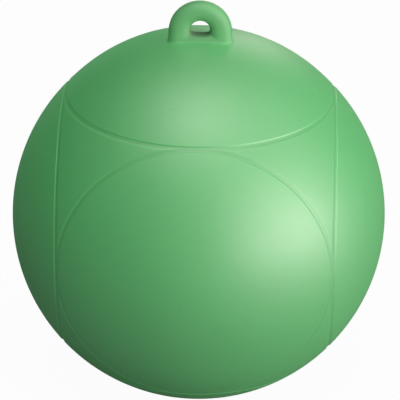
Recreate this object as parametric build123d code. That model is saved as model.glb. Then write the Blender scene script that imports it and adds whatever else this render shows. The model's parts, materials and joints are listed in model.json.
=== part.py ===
from build123d import *
import os
from math import cos, radians, sin, sqrt

# Inflatable slalom buoy: a hollow vinyl ball, a solid rope eye and an air valve with a screw plug.
# Millimetres. The origin is the ball's centre. +Z runs out through the rope eye and +Y through
# the valve, so the eye's hole lies along Y.

# Ball
ball_diameter = 228.6
wall = 3.0
crown_rise = 1.5          # height that the top panel is domed above the round ball
panel_half_angle = 44.9   # degrees at the ball's centre, from a panel's middle to its groove
groove_width = 4.4
groove_depth = 0.55

# Rope eye
eye_thickness = 11.2
eye_hole_radius = 5.0
eye_hole_height = 8.2     # hole centre above the round ball
eye_hole_land = 2.3       # straight wall in the middle of the hole
bow_width = 13.8          # bow beside the hole
bow_rim_share = 0.4       # part of the bow's width in its rounded rim, which runs round the full thickness
bow_mouth_share = 0.27    # part of the bow's width that the hole widens by at either face
arch_height = 6.3         # centre of the bow's outer arc above the round ball
foot_height = 2.2         # start of the foot's flare above the round ball
foot_flare = 2.6          # widening of the foot per side at the eye's root
eye_root = 3.0            # depth of the root below the round ball before the foot is cut

# Air valve
boss_radius = 17.0
boss_depth = 14.0
flange_radius = 12.0
flange_thickness = 2.6
flange_sink = 0.3         # face of the flange below the ball's surface at the flange's rim
flange_chamfer = 0.5
stem_radius = 8.8
stem_overhang = 1.0       # stem past the inner end of the boss
seat_clearance = 0.15
valve_bore_radius = 4.0
head_radius = 6.2
head_thickness = 2.4
head_sink = 0.3           # face of the plug below the face of the flange
head_clearance = 0.4
head_chamfer = 0.4
shank_length = 9.0
shank_clearance = 0.08
shank_chamfer = 0.8
coin_slot_width = 1.8
coin_slot_depth = 1.4
washer_thickness = 0.8
washer_clearance = 0.1

ball_radius = ball_diameter / 2
groove_angle = radians(panel_half_angle)
eye_rim_round = bow_width * bow_rim_share
mouth_flare = bow_width * bow_mouth_share

# Stations along the valve's axis, from the outside in
flange_face = sqrt(ball_radius**2 - flange_radius**2) - flange_sink
flange_back = flange_face - flange_thickness
head_face = flange_face - head_sink
head_back = head_face - head_thickness
washer_back = head_back - washer_thickness
boss_end = ball_radius - boss_depth
stem_end = boss_end - stem_overhang


def ball_body():
    """The ball filled solid, with its top panel domed higher from the groove inwards."""
    rim_radius = ball_radius * sin(groove_angle)
    dome_height = ball_radius * (1 - cos(groove_angle)) + crown_rise
    dome_radius = (rim_radius**2 + dome_height**2) / (2 * dome_height)
    return Sphere(ball_radius) + Pos(0, 0, ball_radius + crown_rise - dome_radius) * Sphere(dome_radius)


def ring_groove(direction):
    """Ring of V section that cuts the groove round the panel facing the direction."""
    rim_height = groove_depth / 2
    rim_half_width = groove_width / 2 * (groove_depth + rim_height) / groove_depth
    section = [(0, -groove_depth), (rim_half_width, rim_height), (-rim_half_width, rim_height)]
    outline = [
        ((ball_radius + height) * sin(groove_angle) + along * cos(groove_angle),
         (ball_radius + height) * cos(groove_angle) - along * sin(groove_angle))
        for along, height in section]
    ring = revolve(Plane.XZ * make_face(Polyline(*outline, close=True)), Axis.Z)
    return Plane((0, 0, 0), z_dir=direction) * ring


def valve_cylinder(radius, inner, outer):
    """Cylinder on the valve's axis between two stations."""
    return Plane((0, inner, 0), z_dir=(0, 1, 0)) * Cylinder(
        radius, outer - inner, align=(Align.CENTER, Align.CENTER, Align.MIN))


def ball_shell(ball):
    """Hollow ball with six grooved panels and a boss that holds the valve."""
    panel_directions = [(0, 0, 1), (0, 0, -1), (0, -1, 0), (0, 1, 0), (-1, 0, 0), (1, 0, 0)]
    boss = valve_cylinder(boss_radius, boss_end, ball_radius) & ball
    shell = ball - Sphere(ball_radius - wall) + boss
    shell -= valve_cylinder(flange_radius + seat_clearance, flange_back, ball_radius)
    shell -= valve_cylinder(stem_radius + seat_clearance, stem_end, flange_back)
    for direction in panel_directions:
        shell -= ring_groove(direction)
    return shell


def eye_section(margin):
    """Section of the eye across its sides: a bar with rounded ends, widened by the margin."""
    half_thickness = eye_thickness / 2 + margin
    core = eye_hole_radius + bow_width - eye_rim_round
    round_end = eye_rim_round + margin
    right = EllipticalCenterArc((core, 0), round_end, half_thickness, start_angle=-90, arc_size=180)
    left = EllipticalCenterArc((-core, 0), round_end, half_thickness, start_angle=90, arc_size=180)
    front = Line((-core, -half_thickness), (core, -half_thickness))
    back = Line((core, half_thickness), (-core, half_thickness))
    return make_face(Curve() + [right, back, left, front])


def eye_hole():
    """Round hole along Y that widens to both faces in a quarter of an ellipse."""
    mouth_radius = eye_hole_radius + mouth_flare
    half_land = eye_hole_land / 2
    half_thickness = eye_thickness / 2
    arcs = [
        EllipticalCenterArc((mouth_radius, side * half_land), mouth_flare, half_thickness - half_land,
                            start_angle=180, arc_size=-90 * side)
        for side in (1, -1)]
    wall_line = Line((eye_hole_radius, -half_land), (eye_hole_radius, half_land))
    outside = Polyline(
        (mouth_radius, half_thickness), (mouth_radius, eye_thickness), (0, eye_thickness),
        (0, -eye_thickness), (mouth_radius, -eye_thickness), (mouth_radius, -half_thickness))
    return revolve(make_face(Curve() + [*arcs, wall_line, outside]), Axis.Y)


def rope_eye(ball):
    """Rounded loop on the crown, its flared foot cut to the ball's own curve."""
    section = eye_section(0)
    arch_centre = ball_radius + arch_height
    foot_top = ball_radius + foot_height
    root = ball_radius - eye_root
    half_section = section & Rectangle(2 * ball_radius, 2 * eye_thickness, align=(Align.MIN, Align.CENTER))
    arch = Pos(0, 0, arch_centre) * revolve(half_section, -Axis.Y, 180)
    sides = Pos(0, 0, foot_top) * extrude(section, arch_centre - foot_top)
    foot = loft([Pos(0, 0, foot_top) * section, Pos(0, 0, root) * eye_section(foot_flare)])
    return arch + sides + foot - Pos(0, 0, ball_radius + eye_hole_height) * eye_hole() - ball


def turned(points):
    """Revolve an outline of (radius, station) points about the valve's axis."""
    return revolve(make_face(Polyline(*points, close=True)), Axis.Y)


def valve_seat():
    """Flanged insert with a threaded bore and a pocket for the plug's head."""
    pocket_radius = head_radius + head_clearance
    return turned([
        (flange_radius - flange_chamfer, flange_face), (flange_radius, flange_face - flange_chamfer),
        (flange_radius, flange_back), (stem_radius, flange_back), (stem_radius, stem_end),
        (valve_bore_radius, stem_end), (valve_bore_radius, washer_back), (pocket_radius, washer_back),
        (pocket_radius, flange_face - flange_chamfer), (pocket_radius + flange_chamfer, flange_face)])


def valve_washer():
    """Flat ring squeezed between the plug's head and the floor of the seat's pocket."""
    inner_radius = valve_bore_radius + washer_clearance
    return turned([
        (inner_radius, head_back), (head_radius, head_back),
        (head_radius, washer_back), (inner_radius, washer_back)])


def valve_plug():
    """Screw plug with a coin slot across its head."""
    shank_radius = valve_bore_radius - shank_clearance
    shank_end = head_back - shank_length
    plug = turned([
        (0, head_face), (head_radius - head_chamfer, head_face), (head_radius, head_face - head_chamfer),
        (head_radius, head_back), (shank_radius, head_back), (shank_radius, shank_end + shank_chamfer),
        (shank_radius - shank_chamfer, shank_end), (0, shank_end)])
    return plug - Pos(0, head_face, 0) * Box(2 * head_radius, 2 * coin_slot_depth, coin_slot_width)


ball = ball_body()
pieces = {
    "ball_shell": ball_shell(ball),
    "rope_eye": rope_eye(ball),
    "valve_seat": valve_seat(),
    "valve_washer": valve_washer(),
    "valve_plug": valve_plug(),
}

os.makedirs("parts", exist_ok=True)
for name, shape in pieces.items():
    export_step(shape, f"parts/{name}.step")
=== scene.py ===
"""Dresses the inflatable slalom buoy: a green vinyl ball with a rope eye and an air valve."""

import json
from math import asin, cos, pi, radians, sin, sqrt, tau

import bmesh
import bpy
import numpy as np
from bpy.props import FloatProperty, FloatVectorProperty, IntProperty, PointerProperty
from mathutils import Matrix, Vector


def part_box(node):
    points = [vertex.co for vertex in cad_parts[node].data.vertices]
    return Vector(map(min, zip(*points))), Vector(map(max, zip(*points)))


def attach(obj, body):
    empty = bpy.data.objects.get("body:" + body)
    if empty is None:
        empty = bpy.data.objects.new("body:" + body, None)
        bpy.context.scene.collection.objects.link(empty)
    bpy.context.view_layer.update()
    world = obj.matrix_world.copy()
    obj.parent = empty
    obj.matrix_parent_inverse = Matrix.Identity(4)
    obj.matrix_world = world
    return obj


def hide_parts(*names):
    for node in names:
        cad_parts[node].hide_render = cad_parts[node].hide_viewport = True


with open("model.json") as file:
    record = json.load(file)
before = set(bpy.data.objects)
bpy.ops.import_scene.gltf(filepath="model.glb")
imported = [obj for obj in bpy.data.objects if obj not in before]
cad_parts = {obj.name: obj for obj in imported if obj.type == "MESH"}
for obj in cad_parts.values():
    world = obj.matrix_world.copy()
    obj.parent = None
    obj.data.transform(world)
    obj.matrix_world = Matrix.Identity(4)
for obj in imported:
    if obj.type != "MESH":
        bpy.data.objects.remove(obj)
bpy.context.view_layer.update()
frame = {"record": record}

bl_info = {
    "name": "Slalom buoy",
    "version": (1, 0, 0),
    "blender": (4, 5, 0),
    "location": "3D View > Sidebar > Buoy",
    "description": "Models and finishes an inflatable slalom buoy round its packed frame",
    "category": "Add Mesh",
}

MM = 0.001
PICTURE_SIZE = 400
SENSOR_WIDTH = 36.0

# Places read from the frame, in metres
ball_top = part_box("ball_shell")[1].z
ball_radius = -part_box("ball_shell")[0].z
eye_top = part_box("rope_eye")[1].z
flange_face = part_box("valve_seat")[1].y
flange_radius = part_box("valve_seat")[1].x
stem_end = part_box("valve_seat")[0].y
head_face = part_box("valve_plug")[1].y
head_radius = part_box("valve_plug")[1].x
shank_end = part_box("valve_plug")[0].y
washer_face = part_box("valve_washer")[1].y
washer_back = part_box("valve_washer")[0].y
hole_mount = next(mount for mount in frame["record"]["mounts"] if mount["name"] == "rope_eye_hole")
hole_height = hole_mount["pos_m"][2]
hole_radius = hole_mount["dims"]["r_mm"] * MM


# Settings

def size(name, description, millimetres):
    """Property for a size, given here in millimetres."""
    return FloatProperty(
        name=name, description=description, default=millimetres * MM, precision=5, unit="LENGTH")


def span(name, description, metres):
    """Property for a size of the stage, in metres."""
    return FloatProperty(name=name, description=description, default=metres, unit="LENGTH")


def angle(name, description, degrees):
    """Property for an angle, given here in degrees."""
    return FloatProperty(name=name, description=description, default=radians(degrees), subtype="ANGLE")


def colour(name, description, rgb):
    """Property for a colour in linear light."""
    return FloatVectorProperty(
        name=name, description=description, default=rgb, size=3, min=0, max=1, subtype="COLOR")


def number(name, description, value):
    """Property for a plain number."""
    return FloatProperty(name=name, description=description, default=value, min=0)


def count(name, description, value):
    """Property for a number of divisions."""
    return IntProperty(name=name, description=description, default=value, min=3)


class BuoyBallSettings(bpy.types.PropertyGroup):
    """Sizes of the ball's skin."""

    panel_angle: angle(
        "Panel half angle", "From a panel's middle to its groove, at the ball's centre", 44.9)
    groove_depth: size("Groove depth", "Depth of a panel's ring groove", 0.37)
    groove_half_width: size("Groove half width", "From the middle of a groove to either brink", 1.8)
    panel_slope: size("Panel slope", "Width of the groove's steep slope, on the panel's side", 0.8)
    land_slope: size("Land slope", "Width of the groove's gentle slope, on the side of the land", 1.5)
    wall: size("Wall", "Thickness of the vinyl", 3.0)
    pocket_gap: size("Pocket gap", "Room round the valve's flange and stem", 0.15)
    pocket_lip: size("Pocket lip", "Rounding of the pocket's edge", 0.7)
    boss_radius: size("Boss radius", "Thickened vinyl round the valve, inside the ball", 17.0)
    stem_overhang: size("Stem overhang", "Stem past the boss, inside the ball", 1.0)
    spokes: count("Spokes", "Divisions round each panel, a multiple of eight", 192)


class BuoyEyeSettings(bpy.types.PropertyGroup):
    """Sizes of the rope eye."""

    bow_width: size("Bow width", "Width of the bow beside the hole", 13.8)
    thickness: size("Thickness", "Depth of the bow along the hole", 10.7)
    hole_spread: size("Hole spread", "Widening of the hole at either end of its sill", 1.0)
    sill_rise: size("Sill rise", "Height of the hole's sill above a round hole's lowest point", 1.2)
    sill_corners: number("Sill corners", "Power of the hole's lower half, where 2 is an ellipse", 3.2)
    sill_flatness: number(
        "Sill flatness", "Power of the section's form under the hole, where 2 is an ellipse", 4.5)
    fillet: size("Foot fillet", "Radius of the foot's run-out on the ball", 0.8)
    side_slope: number(
        "Side slope", "Spread of the bow's sides below its arch, for each unit of height", 0.09)
    root_drop: size("Root drop", "Depth of the bow's lowest point under the hole's centre", 11.5)
    sink: size("Sink", "Depth that the foot reaches below the ball's skin", 1.2)
    fullness: number("Fullness", "Power of the section's round form, where 2 is an ellipse", 2.3)
    turns: count("Divisions round the hole", "Sections of the bow", 224)
    around: count("Divisions round the bow", "Points of each section", 112)


class BuoyValveSettings(bpy.types.PropertyGroup):
    """Sizes of the air valve."""

    flange_thickness: size("Flange thickness", "Thickness of the seat's flange", 2.6)
    stem_radius: size("Stem radius", "Outside of the seat's stem", 8.8)
    bore_radius: size("Bore radius", "Inside of the seat's stem at the bottom of its thread", 4.0)
    pocket_radius: size("Head pocket radius", "Pocket that takes the plug's head", 6.6)
    washer_gap: size("Washer gap", "Room between the washer and the bore", 0.1)
    shank_gap: size("Shank gap", "Room between the shank and the bore", 0.08)
    shank_point: size("Shank point", "Broken edge of the shank's end", 0.8)
    edge: size("Edge", "Rounding of the moulded edges", 0.45)
    thread_pitch: size("Thread pitch", "Lift of the plug in one turn", 3.0)
    thread_depth: size("Thread depth", "Depth of the thread", 0.55)
    slot_width: size("Coin slot width", "Width of the slot across the plug's head", 1.8)
    slot_depth: size("Coin slot depth", "Depth of the slot across the plug's head", 1.4)
    slot_edge: size("Coin slot edge", "Broken edge of the slot's mouth", 0.25)
    segments: count("Segments", "Divisions round the valve's axis", 128)


class BuoyFinishSettings(bpy.types.PropertyGroup):
    """Colours of the moulded materials."""

    vinyl: colour("Vinyl", "Green of the ball", (0.095, 0.565, 0.163))
    # Painted sheen: the eye's green is paler and less saturated than the ball's to stand in for part of
    # its whitish gloss
    eye_vinyl: colour("Eye vinyl", "Green of the rope eye, a little paler", (0.13, 0.5, 0.175))
    plastic: colour("Valve plastic", "Black of the valve's seat and plug", (0.034, 0.036, 0.038))
    rubber: colour("Valve rubber", "Black of the valve's washer", (0.03, 0.03, 0.03))


class BuoyStageSettings(bpy.types.PropertyGroup):
    """Camera, floor and surroundings."""

    azimuth: angle("Azimuth", "Camera's turn round the ball, to its right", 1.65)
    elevation: angle("Elevation", "Camera's height above the horizon", 26.84)
    roll: angle("Roll", "Lean of the ball in the picture, to the right", 0.5)
    distance: span("Distance", "From the ball's centre to the camera", 1.3231)
    lens: number("Lens", "Focal length in millimetres", 193.1)
    centre_x: number(
        "Ball centre across", "Ball's centre in the picture, in pixels from the left", 198.75)
    centre_y: number(
        "Ball centre down", "Ball's centre in the picture, in pixels from the top", 212.81)
    lamp_distance: span("Lamp distance", "From the ball's centre to each lamp", 2.0)
    floor_size: span("Floor size", "Side of the floor", 12.0)
    floor_colour: colour("Floor", "Colour of the floor as it is seen", (0.8, 0.8, 0.8))
    floor_bounce: colour(
        "Floor bounce", "Colour of the floor in the light that it throws back", (0.175, 0.175, 0.175))
    floor_white: number("Floor white", "Share of plain white in the floor as it is seen", 0.96)
    gloss_white: number("White in gloss", "Share of the white background that shows in gloss", 0.01)
    air: colour("Air", "Light from all round", (0.02, 0.02, 0.02))


# Meshes from rings

def joined_rings(rings, loop=False, tip=None):
    """Vertices and faces of rings joined in order, with a tip that closes the first ring if given."""
    rows, spokes = rings.shape[:2]
    vertices = rings.reshape(-1, 3).tolist()
    faces = []
    for row in range(rows if loop else rows - 1):
        here = row * spokes
        there = (row + 1) % rows * spokes
        for k in range(spokes):
            n = (k + 1) % spokes
            faces.append((here + k, here + n, there + n, there + k))
    if tip is not None:
        faces.extend((k, (k + 1) % spokes, len(vertices)) for k in range(spokes))
        vertices.append(tuple(tip))
    return vertices, faces


def require_closed(work, name):
    """Raise an error unless each edge of the mesh at work joins two faces."""
    if not all(edge.is_manifold for edge in work.edges):
        raise RuntimeError(f"{name} is not a closed surface")


def closed_mesh(name, parts):
    """Mesh of (vertices, faces) parts, welded where they meet, with its faces turned outwards."""
    weld_distance = 0.002 * MM
    vertices = []
    faces = []
    for part_vertices, part_faces in parts:
        start = len(vertices)
        vertices.extend(part_vertices)
        faces.extend(tuple(start + i for i in face) for face in part_faces)
    mesh = bpy.data.meshes.new(name)
    mesh.from_pydata(vertices, [], faces)
    work = bmesh.new()
    work.from_mesh(mesh)
    bmesh.ops.remove_doubles(work, verts=work.verts, dist=weld_distance)
    bmesh.ops.recalc_face_normals(work, faces=work.faces)
    require_closed(work, name)
    work.to_mesh(mesh)
    work.free()
    mesh.shade_smooth()
    return mesh


def turned_rings(outline, segments):
    """Rings about the valve's axis through the (radius, station) points of an outline."""
    turn = np.arange(segments) * tau / segments
    radius, station = np.array(outline, float).T
    across = radius[:, None] * np.cos(turn)
    upwards = -radius[:, None] * np.sin(turn)
    return np.stack([across, station[:, None] + 0 * across, upwards], axis=2)


def arc(centre, radius, start, end, steps):
    """Points of an arc in an outline, with its angles in degrees from the radius axis."""
    turns = [radians(start + (end - start) * k / steps) for k in range(steps + 1)]
    return [(centre[0] + radius * cos(turn), centre[1] + radius * sin(turn)) for turn in turns]


def rounded(points, radius):
    """Closed outline with its corners rounded, by less where a side is short."""
    steps = 5
    longest_share = 0.45
    outline = []
    for before, corner, after in zip(points[-1:] + points[:-1], points, points[1:] + points[:1]):
        here = Vector(corner)
        to_before = Vector(before) - here
        to_after = Vector(after) - here
        reach = min(radius, to_before.length * longest_share, to_after.length * longest_share)
        start = here + to_before.normalized() * reach
        end = here + to_after.normalized() * reach
        for k in range(steps + 1):
            share = k / steps
            point = start * (1 - share) ** 2 + here * (2 * share * (1 - share)) + end * share**2
            outline.append((point.x, point.y))
    return outline


def new_piece(mesh, node, body, material):
    """Object that stands for a node of the frame and rides on its body."""
    piece = bpy.data.objects.new(mesh.name, mesh)
    bpy.context.scene.collection.objects.link(piece)
    mesh.materials.append(material)
    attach(piece, body)
    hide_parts(node)
    return piece


# Ball

# Each panel's direction from the ball's centre, and the direction its spokes are counted from
PANELS = {
    "top": ((0, 0, 1), (1, 0, 0)),
    "bottom": ((0, 0, -1), (1, 0, 0)),
    "front": ((0, -1, 0), (1, 0, 0)),
    "back": ((0, 1, 0), (1, 0, 0)),
    "left": ((-1, 0, 0), (0, 1, 0)),
    "right": ((1, 0, 0), (0, 1, 0)),
}


def skin_radius(directions, panel_angle):
    """Distance from the ball's centre to its skin without grooves, where the top panel is domed."""
    dome_height = ball_radius * (1 - cos(panel_angle)) + ball_top - ball_radius
    dome_radius = ((ball_radius * sin(panel_angle)) ** 2 + dome_height**2) / (2 * dome_height)
    dome_centre = ball_top - dome_radius
    along = dome_centre * directions[..., 2]
    dome = along + np.sqrt(along**2 + dome_radius**2 - dome_centre**2)
    return np.maximum(dome, ball_radius)


def across_grooves(directions, ball):
    """Signed distances along the skin to the six ring grooves, negative on a groove's own panel."""
    for axis, _ in PANELS.values():
        tilt = np.arccos(np.clip(directions @ np.array(axis, float), -1, 1))
        yield (tilt - ball.panel_angle) * ball_radius


def groove_share(directions, ball):
    """Share of the full groove depth in these directions, 1 at the bottom of a ring groove."""
    meeting_power = 4
    total = 0
    for away in across_grooves(directions, ball):
        slope = np.where(away < 0, ball.panel_slope, ball.land_slope)
        share = np.clip((ball.groove_half_width - np.abs(away)) / slope, 0, 1)
        smooth = share * share * (3 - 2 * share)
        total = total + smooth**meeting_power
    return np.minimum(total, 1) ** (1 / meeting_power)


def panel_rings(axis, across, start_tilt, ball):
    """Rings of one panel and the lands beside it, out to the edges of a cube's face."""
    panel_rows, groove_rows, land_rows = 24, 32, 9
    # Finely divided band: its half width in groove half widths, and its longest share of a narrow land
    margin = 1.4
    most_of_land = 0.7
    axis = np.array(axis, float)
    across = np.array(across, float)
    turn = np.arange(ball.spokes) * tau / ball.spokes
    edge = np.arctan(1 / np.maximum(np.abs(np.cos(turn)), np.abs(np.sin(turn))))
    groove_start = ball.panel_angle - margin * ball.groove_half_width / ball_radius + 0 * turn
    groove_width = 2 * margin * ball.groove_half_width / ball_radius
    groove_end = groove_start + np.minimum(groove_width, most_of_land * (edge - groove_start))
    tilts = []
    for low, high, rows in (
            (start_tilt + 0 * turn, groove_start, panel_rows),
            (groove_start, groove_end, groove_rows),
            (groove_end, edge, land_rows)):
        tilts.extend(low + (high - low) * (row + 1) / rows for row in range(rows))
    tilt = np.array(tilts)[..., None]
    sideways = np.cos(turn)[:, None] * across + np.sin(turn)[:, None] * np.cross(axis, across)
    directions = np.cos(tilt) * axis + np.sin(tilt) * sideways
    skin = skin_radius(directions, ball.panel_angle)
    reach = skin - ball.groove_depth * groove_share(directions, ball)
    return directions * reach[..., None]


def valve_lining(ball, valve):
    """Outline from the far side of the cavity to the lip of the valve's pocket, and the lip's tilt."""
    cavity_rows, lip_rows = 28, 6
    cavity_radius = ball_radius - ball.wall
    pocket_radius = flange_radius + ball.pocket_gap
    hole = valve.stem_radius + ball.pocket_gap
    pocket_floor = flange_face - valve.flange_thickness
    boss_end = stem_end + ball.stem_overhang
    lip_radius = pocket_radius + ball.pocket_lip
    lip_station = sqrt(ball_radius**2 - lip_radius**2)
    boss_tilt = asin(ball.boss_radius / cavity_radius)
    tilts = [pi + (boss_tilt - pi) * (row + 1) / cavity_rows for row in range(cavity_rows)]
    outline = [(cavity_radius * sin(tilt), cavity_radius * cos(tilt)) for tilt in tilts]
    outline += [(ball.boss_radius, boss_end), (hole, boss_end), (hole, pocket_floor)]
    outline += [(pocket_radius, pocket_floor)]
    outline += arc((lip_radius, lip_station - ball.pocket_lip), ball.pocket_lip, 180, 90, lip_rows)
    return outline, asin(lip_radius / ball_radius)


def ball_mesh(ball, valve):
    """Hollow ball of six panels in ring grooves, with the valve's pocket in its back panel."""
    parts = []
    for name, (axis, across) in PANELS.items():
        if name == "back":
            outline, lip_tilt = valve_lining(ball, valve)
            panel = panel_rings(axis, across, lip_tilt, ball)
            rings = np.concatenate([turned_rings(outline, ball.spokes), panel])
            tip = Vector((0, ball.wall - ball_radius, 0))
        else:
            rings = panel_rings(axis, across, 0, ball)
            tip = Vector(axis) * float(skin_radius(np.array(axis, float), ball.panel_angle))
        parts.append(joined_rings(rings, tip=tip))
    mesh = closed_mesh("ball_skin", parts)
    places = np.array([vertex.co for vertex in mesh.vertices])
    reach = np.linalg.norm(places, axis=1)
    nearest = np.min(np.abs(list(across_grooves(places / reach[:, None], ball))), axis=0)
    distance = np.where(reach > ball_radius - ball.wall / 2, nearest, ball_radius)
    groove = mesh.attributes.new("groove_distance", "FLOAT", "POINT")
    groove.data.foreach_set("value", (distance / MM).astype(np.float32))
    return mesh


class BuoyAddBall(bpy.types.Operator):
    """Add the hollow ball with its grooved panels"""

    bl_idname = "buoy.add_ball"
    bl_label = "Ball"

    def execute(self, context):
        scene = context.scene
        mesh = ball_mesh(scene.buoy_ball, scene.buoy_valve)
        new_piece(mesh, "ball_shell", "buoy", vinyl_material(scene.buoy_finish))
        return {"FINISHED"}


# Rope eye

def eye_outline(turn, eye):
    """Distance from the hole's centre to the bow's outside, with turn 0 upwards."""
    above_zero = 1e-6
    arch_radius = hole_radius + eye.bow_width
    rise = eye_top - arch_radius - hole_height
    up = np.cos(turn)
    sideways = np.maximum(np.abs(np.sin(turn)), above_zero)
    arch = rise * up + np.sqrt((rise * up) ** 2 - rise**2 + arch_radius**2)
    spread = np.maximum(sideways + eye.side_slope * up, above_zero)
    sides = (arch_radius + eye.side_slope * rise) / spread
    outline = np.where(arch * up >= rise, arch, sides)
    root = eye.root_drop / np.maximum(-up, above_zero)
    return np.minimum(outline, root)


def hole_outline(turn, eye):
    """Sideways and upwards from the hole's centre to its throat, an arch over a flat sill."""
    sideways, up = np.sin(turn), np.cos(turn)
    power = np.where(up < 0, 2 / eye.sill_corners, 1)
    middle = eye.sill_rise / 2
    half_width = hole_radius + eye.hole_spread * (1 - up) / 2
    across = half_width * np.sign(sideways) * np.abs(sideways) ** power
    return across, middle + (hole_radius - middle) * np.sign(up) * np.abs(up) ** power


def eye_mesh(eye, panel_angle):
    """Round bow whose foot runs out on the ball's skin in a fillet."""
    sill_narrowness = 4
    turn = np.arange(eye.turns)[:, None] * tau / eye.turns
    around = np.arange(eye.around)[None, :] * tau / eye.around
    below = np.maximum(-np.cos(turn), 0) ** sill_narrowness
    power = 2 / (eye.fullness + (eye.sill_flatness - eye.fullness) * below)
    inwards = np.sign(np.cos(around)) * np.abs(np.cos(around)) ** power
    forwards = np.sign(np.sin(around)) * np.abs(np.sin(around)) ** power
    outside = eye_outline(turn, eye)
    throat_across, throat_up = hole_outline(turn, eye)
    share = (1 - inwards) / 2
    across = throat_across + (outside * np.sin(turn) - throat_across) * share
    upwards = throat_up + (outside * np.cos(turn) - throat_up) * share
    depth = -eye.thickness / 2 * forwards + 0 * turn
    bow = np.stack([across, depth, hole_height + upwards], axis=2)
    along = np.roll(bow, -1, axis=0) - np.roll(bow, 1, axis=0)
    round_bow = np.roll(bow, -1, axis=1) - np.roll(bow, 1, axis=1)
    normal = np.cross(along, round_bow)
    normal /= np.linalg.norm(normal, axis=2, keepdims=True)
    foot = spread_on_ball(bow, normal, eye, panel_angle)
    mesh = closed_mesh("rope_eye_bow", [joined_rings(foot, loop=True)])
    # Mask for the dirt and painted shade on the floor of the hole
    throat = mesh.attributes.new("throat", "FLOAT", "POINT")
    throat.data.foreach_set("value", throat_share(mesh, eye).astype(np.float32))
    return mesh


def throat_share(mesh, eye):
    """How deep each vertex of the bow lies in its hole, from 0 outside to 1 on the throat's floor."""
    # Where the dirt and painted shade end, as shares of the hole's reach, the bow's half thickness and
    # the hole's radius
    near_end, mouth_end, top_end = 2, 1.25, 0.5
    places = np.array([vertex.co for vertex in mesh.vertices])
    across = np.abs(places[:, 0]) / (hole_radius + eye.hole_spread)
    height = (places[:, 2] - hole_height) / hole_radius
    depth = np.abs(places[:, 1]) / (eye.thickness / 2)
    near = np.clip(near_end - np.maximum(across, np.abs(height)), 0, 1)
    return near * np.clip(mouth_end - depth, 0, 1) * np.clip(top_end - height, 0, 1)


def spread_on_ball(bow, normal, eye, panel_angle):
    """The bow with its foot flared in a fillet along the ball and ended just below the skin."""
    reach = np.linalg.norm(bow, axis=2, keepdims=True)
    direction = bow / reach
    height = np.clip(reach - skin_radius(direction, panel_angle)[..., None], 0, eye.fillet)
    spread = eye.fillet - np.sqrt(eye.fillet**2 - (eye.fillet - height) ** 2)
    level = normal - (normal * direction).sum(axis=2, keepdims=True) * direction
    flared = bow + level * spread
    reach = np.linalg.norm(flared, axis=2, keepdims=True)
    direction = flared / reach
    lowest = skin_radius(direction, panel_angle)[..., None] - eye.sink
    return direction * np.maximum(reach, lowest)


class BuoyAddEye(bpy.types.Operator):
    """Add the rope eye on the crown of the ball"""

    bl_idname = "buoy.add_eye"
    bl_label = "Rope eye"

    def execute(self, context):
        scene = context.scene
        mesh = eye_mesh(scene.buoy_eye, scene.buoy_ball.panel_angle)
        new_piece(mesh, "rope_eye", "buoy", eye_material(scene.buoy_finish))
        return {"FINISHED"}


# Air valve

SAME_RADIUS = 0.001 * MM


def with_thread_rows(outline, radius, pitch):
    """Closed outline with its straight run at one radius cut into rows fine enough for a thread."""
    rows_per_turn = 20
    finer = []
    for here, there in zip(outline, outline[1:] + outline[:1]):
        finer.append(here)
        if abs(here[0] - radius) < SAME_RADIUS and abs(there[0] - radius) < SAME_RADIUS:
            run = there[1] - here[1]
            rows = int(abs(run) / pitch * rows_per_turn)
            finer.extend((radius, here[1] + run * (row + 1) / (rows + 1)) for row in range(rows))
    return finer


def threaded(rings, radius, low, high, valve):
    """Rings with a right-hand thread sunk into the wall of that radius between two stations."""
    run_out_turns = 1 / 3
    run_out = valve.thread_pitch * run_out_turns
    station = rings[..., 1]
    turn = np.arctan2(rings[..., 0], rings[..., 2])
    wall = np.hypot(rings[..., 0], rings[..., 2])
    wave = 0.5 - 0.5 * np.cos(tau * station / valve.thread_pitch - turn)
    ends = np.clip(np.minimum(station - low, high - station) / run_out, 0, 1)
    on_wall = np.abs(wall - radius) < SAME_RADIUS
    sunk = radius - valve.thread_depth * wave * ends
    scale = np.where(on_wall, sunk / radius, 1)
    return rings * np.stack([scale, np.ones_like(scale), scale], axis=2)


def seat_mesh(valve):
    """Flanged insert with a pocket for the plug's head and a threaded bore."""
    back = flange_face - valve.flange_thickness
    outline = rounded([
        (flange_radius, flange_face), (flange_radius, back), (valve.stem_radius, back),
        (valve.stem_radius, stem_end), (valve.bore_radius, stem_end), (valve.bore_radius, washer_back),
        (valve.pocket_radius, washer_back), (valve.pocket_radius, flange_face)], valve.edge)
    outline = with_thread_rows(outline, valve.bore_radius, valve.thread_pitch)
    rings = turned_rings(outline, valve.segments)
    rings = threaded(rings, valve.bore_radius, stem_end, washer_back, valve)
    return closed_mesh("valve_seat_moulding", [joined_rings(rings, loop=True)])


def washer_mesh(valve):
    """Flat rubber ring with softened edges."""
    inner = valve.bore_radius + valve.washer_gap
    outline = rounded([
        (inner, washer_face), (head_radius, washer_face),
        (head_radius, washer_back), (inner, washer_back)], valve.edge)
    rings = turned_rings(outline, valve.segments)
    return closed_mesh("valve_washer_ring", [joined_rings(rings, loop=True)])


def plug_mesh(valve):
    """Screw plug with a threaded shank, before its coin slot is cut."""
    shank = valve.bore_radius - valve.shank_gap
    centre = 0.02 * MM
    outline = rounded([
        (centre, head_face), (head_radius, head_face), (head_radius, washer_face),
        (shank, washer_face), (shank, shank_end + valve.shank_point),
        (shank - valve.shank_point, shank_end), (centre, shank_end)], valve.edge)
    outline = with_thread_rows(outline, shank, valve.thread_pitch)
    start = max(range(len(outline)), key=lambda k: outline[k][1] - outline[k][0])
    outline = outline[start:] + outline[:start]
    rings = turned_rings(outline, valve.segments)
    rings = threaded(rings, shank, shank_end, washer_face, valve)
    return closed_mesh("valve_screw_plug", [joined_rings(rings, loop=True)])


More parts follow.
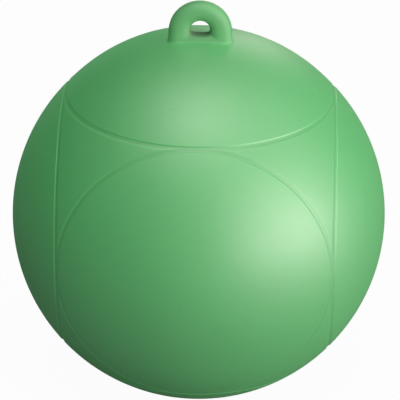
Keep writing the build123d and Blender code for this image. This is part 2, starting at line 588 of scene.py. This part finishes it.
def slot_cutter(valve):
    """Bar that cuts the coin slot, widened at the slot's mouth."""
    half = valve.slot_width / 2
    floor = head_face - valve.slot_depth
    mouth = head_face - valve.slot_edge
    above = head_face + valve.slot_edge
    section = [
        (-half, floor), (half, floor), (half, mouth), (half + 2 * valve.slot_edge, above),
        (-half - 2 * valve.slot_edge, above), (-half, mouth)]
    ends = [
        [(side * 2 * head_radius, station, across) for across, station in section] for side in (-1, 1)]
    corners = len(section)
    sides = [(k, (k + 1) % corners, corners + (k + 1) % corners, corners + k) for k in range(corners)]
    faces = [tuple(range(corners)), tuple(reversed(range(corners, 2 * corners))), *sides]
    return closed_mesh("slot_cutter", [(ends[0] + ends[1], faces)])


def cut_slot(piece, valve):
    """Cut the coin slot into the plug's mesh."""
    crease = radians(35)
    cutter = bpy.data.objects.new("slot_cutter", slot_cutter(valve))
    bpy.context.scene.collection.objects.link(cutter)
    boolean = piece.modifiers.new("coin_slot", "BOOLEAN")
    boolean.operation = "DIFFERENCE"
    boolean.solver = "EXACT"
    boolean.object = cutter
    evaluated = piece.evaluated_get(bpy.context.evaluated_depsgraph_get())
    cut = bpy.data.meshes.new_from_object(evaluated)
    piece.modifiers.clear()
    piece.data = cut
    cut.name = piece.name
    cut.shade_smooth()
    cut.set_sharp_from_angle(angle=crease)
    bpy.data.objects.remove(cutter)
    work = bmesh.new()
    work.from_mesh(cut)
    require_closed(work, piece.name)
    work.free()


class BuoyAddSeat(bpy.types.Operator):
    """Add the valve's flanged seat in the back panel"""

    bl_idname = "buoy.add_valve_seat"
    bl_label = "Valve seat"

    def execute(self, context):
        scene = context.scene
        mesh = seat_mesh(scene.buoy_valve)
        new_piece(mesh, "valve_seat", "buoy", plastic_material(scene.buoy_finish))
        return {"FINISHED"}


class BuoyAddWasher(bpy.types.Operator):
    """Add the rubber washer under the plug's head"""

    bl_idname = "buoy.add_valve_washer"
    bl_label = "Valve washer"

    def execute(self, context):
        scene = context.scene
        mesh = washer_mesh(scene.buoy_valve)
        new_piece(mesh, "valve_washer", "seal", rubber_material(scene.buoy_finish))
        return {"FINISHED"}


class BuoyAddPlug(bpy.types.Operator):
    """Add the screw plug that closes the valve"""

    bl_idname = "buoy.add_valve_plug"
    bl_label = "Valve plug"

    def execute(self, context):
        scene = context.scene
        mesh = plug_mesh(scene.buoy_valve)
        plastic = plastic_material(scene.buoy_finish)
        piece = new_piece(mesh, "valve_plug", "plug", plastic)
        cut_slot(piece, scene.buoy_valve)
        return {"FINISHED"}


# Finishes

def new_group(name, inputs, outputs):
    """Empty shader node group with named sockets, and its input and output nodes."""
    tree = bpy.data.node_groups.new(name, "ShaderNodeTree")
    for socket, kind, value in inputs:
        made = tree.interface.new_socket(socket, in_out="INPUT", socket_type=kind)
        made.default_value = value
    for socket, kind in outputs:
        tree.interface.new_socket(socket, in_out="OUTPUT", socket_type=kind)
    return tree, tree.nodes.new("NodeGroupInput"), tree.nodes.new("NodeGroupOutput")


def noise(tree, size_mm, detail, stretch=(1, 1, 1)):
    """Noise whose features are about that many millimetres across, in the object's own space."""
    place = tree.nodes.new("ShaderNodeTexCoord")
    scale = tree.nodes.new("ShaderNodeMapping")
    scale.inputs["Scale"].default_value = stretch
    texture = tree.nodes.new("ShaderNodeTexNoise")
    texture.inputs["Scale"].default_value = 1 / (size_mm * MM)
    texture.inputs["Detail"].default_value = detail
    tree.links.new(place.outputs["Object"], scale.inputs["Vector"])
    tree.links.new(scale.outputs["Vector"], texture.inputs["Vector"])
    return texture.outputs["Fac"]


def math_node(tree, operation, *values):
    """Math node on sockets or plain numbers."""
    node = tree.nodes.new("ShaderNodeMath")
    node.operation = operation
    for slot, value in zip(node.inputs, values):
        if isinstance(value, bpy.types.NodeSocket):
            tree.links.new(value, slot)
        else:
            slot.default_value = value
    return node.outputs["Value"]


def swing(tree, size_mm, detail):
    """Noise that swings evenly about zero."""
    return math_node(tree, "SUBTRACT", noise(tree, size_mm, detail), 0.5)


def fade(tree, value, none, full):
    """Smooth mask that grows from 0 to 1 as a value goes from none to full."""
    node = tree.nodes.new("ShaderNodeMapRange")
    node.interpolation_type = "SMOOTHSTEP"
    node.inputs["From Min"].default_value = none
    node.inputs["From Max"].default_value = full
    tree.links.new(value, node.inputs["Value"])
    return node.outputs["Result"]


def moulded_grain():
    """Group for the height of a moulded surface: fine grain on a slow ripple, in millimetres."""
    if "moulded_grain" in bpy.data.node_groups:
        return bpy.data.node_groups["moulded_grain"]
    tree, given, made = new_group(
        "moulded_grain",
        [("Grain", "NodeSocketFloat", 0.01), ("Ripple", "NodeSocketFloat", 0.01)],
        [("Height", "NodeSocketFloat")])
    grain_mm, ripple_mm = 0.9, 9.0
    grain = math_node(tree, "MULTIPLY", noise(tree, grain_mm, detail=3), given.outputs["Grain"])
    ripple = math_node(tree, "MULTIPLY", noise(tree, ripple_mm, detail=2), given.outputs["Ripple"])
    tree.links.new(math_node(tree, "ADD", grain, ripple), made.inputs["Height"])
    return tree


def colour_drift():
    """Group for a pigment that is never quite even: slow clouds, fine mottling and dark specks."""
    if "colour_drift" in bpy.data.node_groups:
        return bpy.data.node_groups["colour_drift"]
    tree, given, made = new_group(
        "colour_drift",
        [("Color", "NodeSocketColor", (0.5, 0.5, 0.5, 1)), ("Clouds", "NodeSocketFloat", 0.05),
         ("Mottling", "NodeSocketFloat", 0.03), ("Specks", "NodeSocketFloat", 0.3)],
        [("Color", "NodeSocketColor")])
    cloud_mm, mottle_mm, speck_apart_mm = 55, 5, 14
    speck_share = 0.035
    clouds = math_node(tree, "MULTIPLY", swing(tree, cloud_mm, detail=3), given.outputs["Clouds"])
    mottling = math_node(tree, "MULTIPLY", swing(tree, mottle_mm, detail=4), given.outputs["Mottling"])
    place = tree.nodes.new("ShaderNodeTexCoord")
    cells = tree.nodes.new("ShaderNodeTexVoronoi")
    cells.inputs["Scale"].default_value = 1 / (speck_apart_mm * MM)
    tree.links.new(place.outputs["Object"], cells.inputs["Vector"])
    speck = math_node(tree, "LESS_THAN", cells.outputs["Distance"], speck_share)
    darker = math_node(tree, "MULTIPLY", speck, given.outputs["Specks"])
    paler = math_node(tree, "ADD", math_node(tree, "ADD", clouds, mottling), 1)
    value = math_node(tree, "SUBTRACT", paler, darker)
    shade = tree.nodes.new("ShaderNodeHueSaturation")
    tree.links.new(given.outputs["Color"], shade.inputs["Color"])
    tree.links.new(value, shade.inputs["Value"])
    tree.links.new(shade.outputs["Color"], made.inputs["Color"])
    return tree


def rubbed_gloss():
    """Group for a gloss that handling has left uneven: soft patches and fine rub marks."""
    if "rubbed_gloss" in bpy.data.node_groups:
        return bpy.data.node_groups["rubbed_gloss"]
    tree, given, made = new_group(
        "rubbed_gloss",
        [("Roughness", "NodeSocketFloat", 0.4), ("Patches", "NodeSocketFloat", 0.08),
         ("Rubs", "NodeSocketFloat", 0.05)],
        [("Roughness", "NodeSocketFloat")])
    patch_mm, rub_mm = 24, 6
    rub_stretch = (0.12, 0.35, 2.2)
    rub_threshold = 0.66
    patches = math_node(tree, "MULTIPLY", swing(tree, patch_mm, detail=4), given.outputs["Patches"])
    streaks = noise(tree, rub_mm, detail=5, stretch=rub_stretch)
    streaks = math_node(tree, "GREATER_THAN", streaks, rub_threshold)
    rubs = math_node(tree, "MULTIPLY", streaks, given.outputs["Rubs"])
    total = math_node(tree, "ADD", math_node(tree, "ADD", patches, rubs), given.outputs["Roughness"])
    tree.links.new(total, made.inputs["Roughness"])
    return tree


def grime():
    """Group for a colour that dust and painted shade darken and scuffs and a painted highlight pale,
    each by a mask and its strength.
    """
    if "grime" in bpy.data.node_groups:
        return bpy.data.node_groups["grime"]
    tree, given, made = new_group(
        "grime",
        [("Color", "NodeSocketColor", (0.5, 0.5, 0.5, 1)),
         ("Dirt", "NodeSocketFloat", 0), ("Dirt Strength", "NodeSocketFloat", 0),
         ("Wear", "NodeSocketFloat", 0), ("Wear Strength", "NodeSocketFloat", 0)],
        [("Color", "NodeSocketColor")])
    darker = math_node(tree, "MULTIPLY", given.outputs["Dirt"], given.outputs["Dirt Strength"])
    paler = math_node(tree, "MULTIPLY", given.outputs["Wear"], given.outputs["Wear Strength"])
    shade = tree.nodes.new("ShaderNodeHueSaturation")
    tree.links.new(given.outputs["Color"], shade.inputs["Color"])
    value = math_node(tree, "SUBTRACT", math_node(tree, "ADD", paler, 1), darker)
    tree.links.new(value, shade.inputs["Value"])
    tree.links.new(shade.outputs["Color"], made.inputs["Color"])
    return tree


def place_group(tree, group, **values):
    """Node of a group in a material, with its own values."""
    node = tree.nodes.new("ShaderNodeGroup")
    node.node_tree = group
    for name, value in values.items():
        node.inputs[name].default_value = value
    return node


def moulded_material(name, rgb, refraction, specular, gloss, drift, grain):
    """Material of a moulded surface from three shared effects, with its tree, shader and tint."""
    material = bpy.data.materials.new(name)
    material.use_nodes = True
    tree = material.node_tree
    shader = tree.nodes["Principled BSDF"]
    shader.inputs["Specular IOR Level"].default_value = specular
    shader.inputs["IOR"].default_value = refraction
    tint = place_group(tree, colour_drift(), Color=(*rgb, 1), **drift)
    polish = place_group(tree, rubbed_gloss(), **gloss)
    relief = place_group(tree, moulded_grain(), **grain)
    bump = tree.nodes.new("ShaderNodeBump")
    bump.inputs["Distance"].default_value = MM
    tree.links.new(relief.outputs["Height"], bump.inputs["Height"])
    tree.links.new(bump.outputs["Normal"], shader.inputs["Normal"])
    tree.links.new(tint.outputs["Color"], shader.inputs["Base Color"])
    tree.links.new(polish.outputs["Roughness"], shader.inputs["Roughness"])
    return material, tree, shader, tint


def vinyl_material(finish):
    """Satin green vinyl, darker with dust and painted shade in the grooves' creases and paler with
    scuffs and a painted highlight along their brinks.
    """
    material, tree, shader, tint = moulded_material(
        "green_vinyl", finish.vinyl, refraction=2.0, specular=1.0,
        gloss={"Roughness": 0.56, "Patches": 0.06, "Rubs": 0.03},
        drift={"Clouds": 0.06, "Mottling": 0.05, "Specks": 0.25},
        grain={"Grain": 0.006, "Ripple": 0.02})
    # Distances from the middle of a groove, in millimetres, where a mask starts and where it is full
    dust_and_shade_start, dust_and_shade_full = 1.0, 0.2
    brink_start, brink_full = 1.3, 1.7
    skin_start, skin_full = 2.5, 2.0
    groove = tree.nodes.new("ShaderNodeAttribute")
    groove.attribute_name = "groove_distance"
    away = groove.outputs["Fac"]
    scuffs_and_highlight = math_node(
        tree, "MULTIPLY",
        fade(tree, away, brink_start, brink_full), fade(tree, away, skin_start, skin_full))
    # Dust and painted shade darken the crease of each groove; scuffs and a painted highlight pale its
    # brinks
    used = place_group(tree, grime(), **{"Dirt Strength": 0.11, "Wear Strength": 0.05})
    tree.links.new(tint.outputs["Color"], used.inputs["Color"])
    tree.links.new(fade(tree, away, dust_and_shade_start, dust_and_shade_full), used.inputs["Dirt"])
    tree.links.new(scuffs_and_highlight, used.inputs["Wear"])
    tree.links.new(used.outputs["Color"], shader.inputs["Base Color"])
    return material


def eye_material(finish):
    """Duller green vinyl of the solid eye, with dirt and painted shade on the floor of its hole."""
    material, tree, shader, tint = moulded_material(
        "green_eye_vinyl", finish.eye_vinyl, refraction=1.7, specular=1.0,
        gloss={"Roughness": 0.68, "Patches": 0.08, "Rubs": 0.04},
        drift={"Clouds": 0.08, "Mottling": 0.06, "Specks": 0.25},
        grain={"Grain": 0.008, "Ripple": 0.02})
    throat = tree.nodes.new("ShaderNodeAttribute")
    throat.attribute_name = "throat"
    # Dirt and painted shade darken the floor of the hole, where the bow's shadow falls
    used = place_group(tree, grime(), **{"Dirt Strength": 0.6})
    tree.links.new(tint.outputs["Color"], used.inputs["Color"])
    tree.links.new(throat.outputs["Fac"], used.inputs["Dirt"])
    tree.links.new(used.outputs["Color"], shader.inputs["Base Color"])
    return material


def plastic_material(finish):
    """Black moulded plastic with a satin face."""
    if "black_plastic" in bpy.data.materials:
        return bpy.data.materials["black_plastic"]
    return moulded_material(
        "black_plastic", finish.plastic, refraction=1.5, specular=0.5,
        gloss={"Roughness": 0.36, "Patches": 0.1, "Rubs": 0.1},
        drift={"Clouds": 0.1, "Mottling": 0.25, "Specks": 0.0},
        grain={"Grain": 0.012, "Ripple": 0.01})[0]


def rubber_material(finish):
    """Matt black rubber."""
    return moulded_material(
        "black_rubber", finish.rubber, refraction=1.5, specular=0.35,
        gloss={"Roughness": 0.7, "Patches": 0.12, "Rubs": 0.05},
        drift={"Clouds": 0.1, "Mottling": 0.3, "Specks": 0.0},
        grain={"Grain": 0.02, "Ripple": 0.01})[0]


# Stage

# Softboxes aimed at the ball: turn to its right and height above it in degrees, size in metres, glow
SOFTBOXES = (
    {"name": "key_strip", "azimuth": 55, "elevation": 4, "width": 1.4, "height": 0.4, "glow": 2.4},
    {"name": "key_near", "azimuth": 40, "elevation": 5, "width": 0.5, "height": 0.4, "glow": 9.3},
    {"name": "key_far", "azimuth": 70, "elevation": 3, "width": 0.5, "height": 0.4, "glow": 15.8},
    {"name": "key_bank", "azimuth": 55, "elevation": 24, "width": 1.6, "height": 0.9, "glow": 2.4},
    {"name": "right_high", "azimuth": 105, "elevation": 50, "width": 0.9, "height": 0.9, "glow": 0.9},
    {"name": "overhead", "azimuth": 0, "elevation": 81, "width": 1.0, "height": 1.0, "glow": 4.2},
    {"name": "back_glint", "azimuth": 168, "elevation": 20, "width": 0.5, "height": 0.4, "glow": 9.0},
)
# Fills in the same columns, kept out of the gloss so that they only brighten the colour
FILLS = (
    {"name": "left_low", "azimuth": 340, "elevation": 4, "width": 0.7, "height": 0.4, "glow": 5.6},
    {"name": "left_front", "azimuth": 330, "elevation": 20, "width": 0.8, "height": 0.7, "glow": 0.6},
    {"name": "left_high", "azimuth": 325, "elevation": 40, "width": 0.8, "height": 0.8, "glow": 0.8},
    {"name": "top_fill", "azimuth": 0, "elevation": 62, "width": 0.9, "height": 0.9, "glow": 2.8},
    {"name": "right_low", "azimuth": 95, "elevation": 3, "width": 0.7, "height": 0.4, "glow": 4.4},
    {"name": "back_fill", "azimuth": 200, "elevation": 5, "width": 1.4, "height": 0.5, "glow": 8.5},
)
# Warm white of the softboxes and cool white of the fills
WARM_WHITE = (1, 0.87, 0.86)
COOL_WHITE = (0.88, 1, 0.96)


def direction_to(azimuth, elevation):
    """Unit vector from the ball's centre, with azimuth 0 towards the front and growing to the right."""
    return Vector((sin(azimuth) * cos(elevation), -cos(azimuth) * cos(elevation), sin(elevation)))


def add_camera(stage):
    """Camera at the picture's viewing angle, aimed so that the ball's centre falls on its pixel."""
    back = direction_to(stage.azimuth, stage.elevation)
    level = Vector((cos(stage.azimuth), sin(stage.azimuth), 0))
    upright = back.cross(level)
    right = level * cos(stage.roll) + upright * sin(stage.roll)
    up = upright * cos(stage.roll) - level * sin(stage.roll)
    focal_pixels = stage.lens / SENSOR_WIDTH * PICTURE_SIZE
    middle = PICTURE_SIZE / 2
    aim = right * (middle - stage.centre_x) + up * (stage.centre_y - middle) - back * focal_pixels
    back_axis = -aim.normalized()
    right_axis = up.cross(back_axis).normalized()
    up_axis = back_axis.cross(right_axis)
    data = bpy.data.cameras.new("camera")
    data.lens = stage.lens
    data.sensor_width = SENSOR_WIDTH
    camera = bpy.data.objects.new("camera", data)
    turn = Matrix((right_axis, up_axis, back_axis)).transposed().to_4x4()
    camera.matrix_world = Matrix.Translation(back * stage.distance) @ turn
    bpy.context.scene.collection.objects.link(camera)
    bpy.context.scene.camera = camera


def add_softbox(box, distance):
    """Rectangular lamp that faces the ball's centre."""
    data = bpy.data.lights.new(box["name"], "AREA")
    data.shape = "RECTANGLE"
    data.size = box["width"]
    data.size_y = box["height"]
    data.energy = box["glow"] * pi * box["width"] * box["height"]
    lamp = bpy.data.objects.new(box["name"], data)
    towards = direction_to(radians(box["azimuth"]), radians(box["elevation"]))
    turn = towards.to_track_quat("Z", "Y").to_matrix().to_4x4()
    lamp.matrix_world = Matrix.Translation(towards * distance) @ turn
    lamp.visible_camera = False
    bpy.context.scene.collection.objects.link(lamp)
    return lamp


def shown_white(tree, gloss_white):
    """Share of the white background in a ray: all to the camera, a little in gloss."""
    path = tree.nodes.new("ShaderNodeLightPath")
    gloss = math_node(tree, "MULTIPLY", path.outputs["Is Glossy Ray"], gloss_white)
    shown = math_node(tree, "MAXIMUM", path.outputs["Is Camera Ray"], gloss)
    return math_node(tree, "MAXIMUM", shown, path.outputs["Is Transmission Ray"])


def floor_material(stage):
    """Pale floor that is seen nearly white, takes a soft shadow and throws little light back."""
    material = bpy.data.materials.new("pale_floor")
    material.use_nodes = True
    tree = material.node_tree
    tree.nodes.remove(tree.nodes["Principled BSDF"])
    pale = tree.nodes.new("ShaderNodeBsdfDiffuse")
    pale.inputs["Color"].default_value = (*stage.floor_colour, 1)
    bounce = tree.nodes.new("ShaderNodeBsdfDiffuse")
    bounce.inputs["Color"].default_value = (*stage.floor_bounce, 1)
    white = tree.nodes.new("ShaderNodeEmission")
    white.inputs["Color"].default_value = (1, 1, 1, 1)
    seen = tree.nodes.new("ShaderNodeMixShader")
    seen.inputs["Fac"].default_value = stage.floor_white
    tree.links.new(pale.outputs["BSDF"], seen.inputs[1])
    tree.links.new(white.outputs["Emission"], seen.inputs[2])
    mix = tree.nodes.new("ShaderNodeMixShader")
    tree.links.new(shown_white(tree, stage.gloss_white), mix.inputs["Fac"])
    tree.links.new(bounce.outputs["BSDF"], mix.inputs[1])
    tree.links.new(seen.outputs["Shader"], mix.inputs[2])
    tree.links.new(mix.outputs["Shader"], tree.nodes["Material Output"].inputs["Surface"])
    return material


def add_floor(stage):
    """Floor that the ball's lowest point touches."""
    half = stage.floor_size / 2
    corners = [(x * half, y * half, -ball_radius) for x, y in ((-1, -1), (1, -1), (1, 1), (-1, 1))]
    mesh = bpy.data.meshes.new("floor")
    mesh.from_pydata(corners, [], [(0, 1, 2, 3)])
    mesh.materials.append(floor_material(stage))
    floor = bpy.data.objects.new("floor", mesh)
    bpy.context.scene.collection.objects.link(floor)


def add_surroundings(stage):
    """Dim light from all round, seen as white."""
    world = bpy.data.worlds.new("studio")
    world.use_nodes = True
    tree = world.node_tree
    air = tree.nodes["Background"]
    air.inputs["Color"].default_value = (*stage.air, 1)
    white = tree.nodes.new("ShaderNodeBackground")
    white.inputs["Color"].default_value = (1, 1, 1, 1)
    mix = tree.nodes.new("ShaderNodeMixShader")
    tree.links.new(shown_white(tree, stage.gloss_white), mix.inputs["Fac"])
    tree.links.new(air.outputs["Background"], mix.inputs[1])
    tree.links.new(white.outputs["Background"], mix.inputs[2])
    tree.links.new(mix.outputs["Shader"], tree.nodes["World Output"].inputs["Surface"])
    bpy.context.scene.world = world


class BuoyAddStage(bpy.types.Operator):
    """Add the camera, the floor and the studio lights"""

    bl_idname = "buoy.add_stage"
    bl_label = "Stage"

    def execute(self, context):
        stage = context.scene.buoy_stage
        context.scene.view_settings.view_transform = "Standard"
        add_camera(stage)
        add_floor(stage)
        add_surroundings(stage)
        for box in SOFTBOXES:
            add_softbox(box, stage.lamp_distance).data.color = WARM_WHITE
        for box in FILLS:
            fill = add_softbox(box, stage.lamp_distance)
            fill.data.color = COOL_WHITE
            fill.visible_glossy = False
        return {"FINISHED"}


# Add-on

class BUOY_PT_build(bpy.types.Panel):
    """Lists the buoy's pieces and their settings"""

    bl_label = "Slalom buoy"
    bl_space_type = "VIEW_3D"
    bl_region_type = "UI"
    bl_category = "Buoy"

    def draw(self, context):
        for operator in OPERATORS:
            self.layout.operator(operator.bl_idname)
        for name, settings in SETTINGS.items():
            column = self.layout.column(align=True)
            column.label(text=settings.__doc__)
            for key in settings.__annotations__:
                column.prop(getattr(context.scene, name), key)


SETTINGS = {
    "buoy_ball": BuoyBallSettings,
    "buoy_eye": BuoyEyeSettings,
    "buoy_valve": BuoyValveSettings,
    "buoy_finish": BuoyFinishSettings,
    "buoy_stage": BuoyStageSettings,
}
OPERATORS = (BuoyAddBall, BuoyAddEye, BuoyAddSeat, BuoyAddWasher, BuoyAddPlug, BuoyAddStage)
CLASSES = (*SETTINGS.values(), *OPERATORS, BUOY_PT_build)


def register():
    """Add the classes and the scene's settings to Blender."""
    for cls in CLASSES:
        bpy.utils.register_class(cls)
    for name, settings in SETTINGS.items():
        setattr(bpy.types.Scene, name, PointerProperty(type=settings))


def unregister():
    """Take the settings and the classes out of Blender again."""
    for name in SETTINGS:
        delattr(bpy.types.Scene, name)
    for cls in reversed(CLASSES):
        bpy.utils.unregister_class(cls)


def main():
    """Build every piece and the stage."""
    register()
    bpy.ops.buoy.add_ball()
    bpy.ops.buoy.add_eye()
    bpy.ops.buoy.add_valve_seat()
    bpy.ops.buoy.add_valve_washer()
    bpy.ops.buoy.add_valve_plug()
    bpy.ops.buoy.add_stage()


if __name__ == "__main__":
    main()
